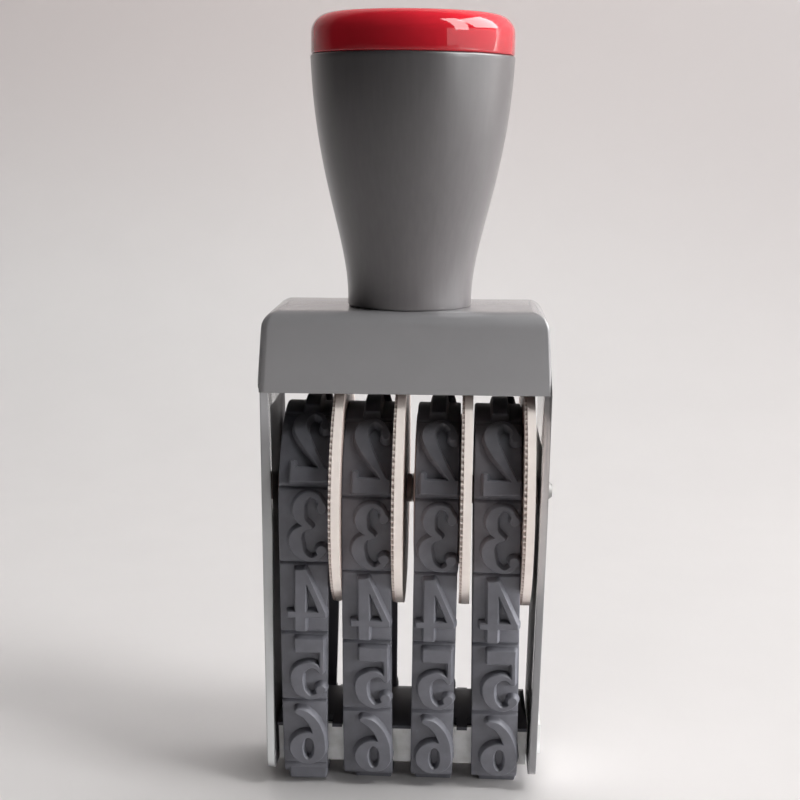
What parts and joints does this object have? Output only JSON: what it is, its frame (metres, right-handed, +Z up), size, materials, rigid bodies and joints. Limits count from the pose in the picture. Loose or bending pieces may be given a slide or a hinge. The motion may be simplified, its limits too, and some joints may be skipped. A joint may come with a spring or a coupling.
{
  "type": "rotary number stamp",
  "caption": "Hand number stamp: tapered palm handle on a pressed steel hood and legs, with toothed setting wheels and rubber figure bands that run round a platen.",
  "frame": {"origin": "middle of the printing face, on the surface that the stamp stands on", "axes": "+X along the axle to the right seen from the front, -Y to the front, +Z up along the handle"},
  "size_m": [0.0446, 0.0354, 0.1171],
  "materials": {
    "grey_paint": "satin",
    "grey_plastic": "satin",
    "red_plastic": "gloss",
    "plated_steel": "satin",
    "cream_plastic": "satin",
    "dark_rubber": "matte",
    "bare_metal": "satin",
    "black_plastic": "matte"
  },
  "bodies": {
    "stamp_frame": {"frame": "grey_paint", "handle": "grey_plastic", "handle_cap": "red_plastic", "handle_screw": "plated_steel", "handle_washer": "plated_steel", "lock_washer": "plated_steel", "hex_nut": "plated_steel", "axle": "plated_steel", "spacer_left": "cream_plastic", "spacer_mid": "cream_plastic", "spacer_right": "cream_plastic", "number_band_1": "dark_rubber", "number_band_2": "dark_rubber", "number_band_3": "dark_rubber", "number_band_4": "dark_rubber", "platen_bar": "bare_metal", "band_comb": "black_plastic"},
    "wheel_1": {"number_wheel_1": "cream_plastic"},
    "wheel_2": {"number_wheel_2": "cream_plastic"},
    "wheel_3": {"number_wheel_3": "cream_plastic"},
    "wheel_4": {"number_wheel_4": "cream_plastic"}
  },
  "joints": [
    {"name": "wheel_1_spin", "type": "hinge", "parent": "stamp_frame", "child": "wheel_1", "pos_m": [0, 0, 0.0454], "axis": [1, 0, 0], "continuous": true},
    {"name": "wheel_2_spin", "type": "hinge", "parent": "stamp_frame", "child": "wheel_2", "pos_m": [0, 0, 0.0454], "axis": [1, 0, 0], "continuous": true},
    {"name": "wheel_3_spin", "type": "hinge", "parent": "stamp_frame", "child": "wheel_3", "pos_m": [0, 0, 0.0454], "axis": [1, 0, 0], "continuous": true},
    {"name": "wheel_4_spin", "type": "hinge", "parent": "stamp_frame", "child": "wheel_4", "pos_m": [0, 0, 0.0454], "axis": [1, 0, 0], "continuous": true}
  ]
}
